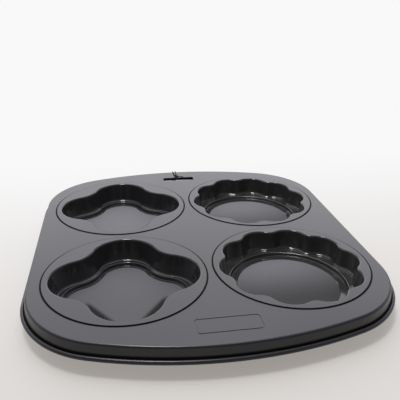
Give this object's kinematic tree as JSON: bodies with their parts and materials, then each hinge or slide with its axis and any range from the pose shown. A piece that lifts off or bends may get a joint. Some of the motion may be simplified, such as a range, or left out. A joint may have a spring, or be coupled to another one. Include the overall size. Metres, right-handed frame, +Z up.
{
  "type": "muffin pan",
  "caption": "Shallow muffin pan of dark coated steel with flower and scalloped cups set in a wired deck, a hanging slot and a tied cord.",
  "frame": {"origin": "under the middle of the pan, on the surface that the cup floors stand on", "axes": "+Z up; +X to the right across the two columns of cups, seen from the panel end; +Y along the length, towards the hanging slot"},
  "size_m": [0.2498, 0.283, 0.022],
  "materials": {
    "deck_coating": "satin dark grey non-stick coating on sheet steel",
    "cup_coating": "satin dark grey non-stick coating on sheet steel",
    "steel_wire": "plain drawn steel wire",
    "black_cord": "matt black twisted cord"
  },
  "bodies": {
    "root": {"deck": "deck_coating", "rim_wire": "steel_wire", "flower_cup_front": "cup_coating", "flower_cup_back": "cup_coating", "scalloped_cup_front": "cup_coating", "scalloped_cup_back": "cup_coating", "tag_tie": "black_cord"}
  },
  "joints": []
}
